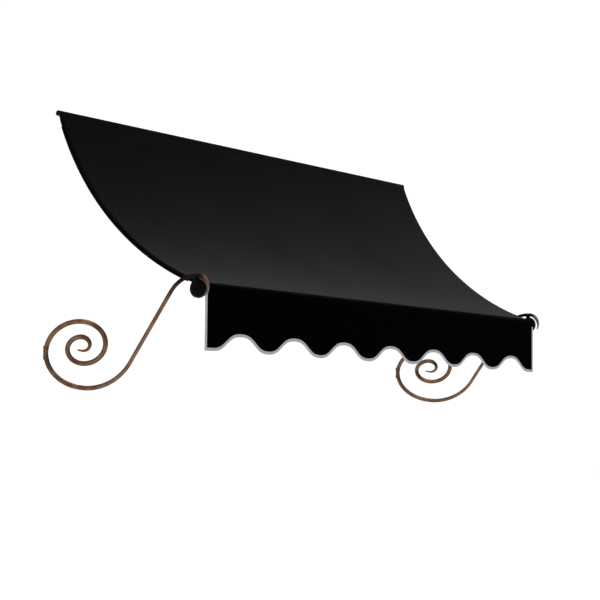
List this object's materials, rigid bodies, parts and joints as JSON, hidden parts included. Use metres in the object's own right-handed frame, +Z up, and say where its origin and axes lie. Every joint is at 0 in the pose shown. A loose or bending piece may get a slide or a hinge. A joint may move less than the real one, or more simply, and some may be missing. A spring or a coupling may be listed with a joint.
{
  "type": "fixed fabric awning",
  "caption": "Fixed window awning: a hollow-swept black cloth cover with a scalloped, bound valance, on a tube frame held by forged scroll arms.",
  "frame": {"origin": "centre of the middle head bracket's back face, on the wall", "axes": "+X along the width, to the right seen from the street; +Y into the wall; +Z up"},
  "size_m": [2.1728, 0.6653, 0.9046],
  "materials": {
    "awning_cloth": "woven acrylic, matt, solution-dyed black",
    "binding_tape": "woven braid, light grey",
    "frame_paint": "satin black powder coat on steel tube and bar",
    "knob_paint": "gloss black enamel on cast aluminium",
    "bronze_paint": "rubbed bronze finish on forged steel",
    "zinc_screw": "bright zinc plate",
    "black_plastic": "moulded black plastic"
  },
  "bodies": {
    "root": {"canopy_cover": "awning_cloth", "valance": "awning_cloth", "valance_binding": "binding_tape", "head_rod": "frame_paint", "front_bar": "frame_paint", "rib_left": "frame_paint", "rib_middle_left": "frame_paint", "rib_middle_right": "frame_paint", "rib_right": "frame_paint", "head_bracket_left": "frame_paint", "bracket_screw_left_a": "zinc_screw", "bracket_screw_left_b": "zinc_screw", "rod_screw_left": "zinc_screw", "head_bracket_middle": "frame_paint", "bracket_screw_middle_a": "zinc_screw", "bracket_screw_middle_b": "zinc_screw", "rod_screw_middle": "zinc_screw", "head_bracket_right": "frame_paint", "bracket_screw_right_a": "zinc_screw", "bracket_screw_right_b": "zinc_screw", "rod_screw_right": "zinc_screw", "head_rod_plug_left": "black_plastic", "bar_knob_left": "knob_paint", "scroll_arm_left": "bronze_paint", "arm_bolt_left": "zinc_screw", "arm_screw_left_lower": "zinc_screw", "arm_screw_left_upper": "zinc_screw", "head_rod_plug_right": "black_plastic", "bar_knob_right": "knob_paint", "scroll_arm_right": "bronze_paint", "arm_bolt_right": "zinc_screw", "arm_screw_right_lower": "zinc_screw", "arm_screw_right_upper": "zinc_screw"}
  },
  "joints": []
}
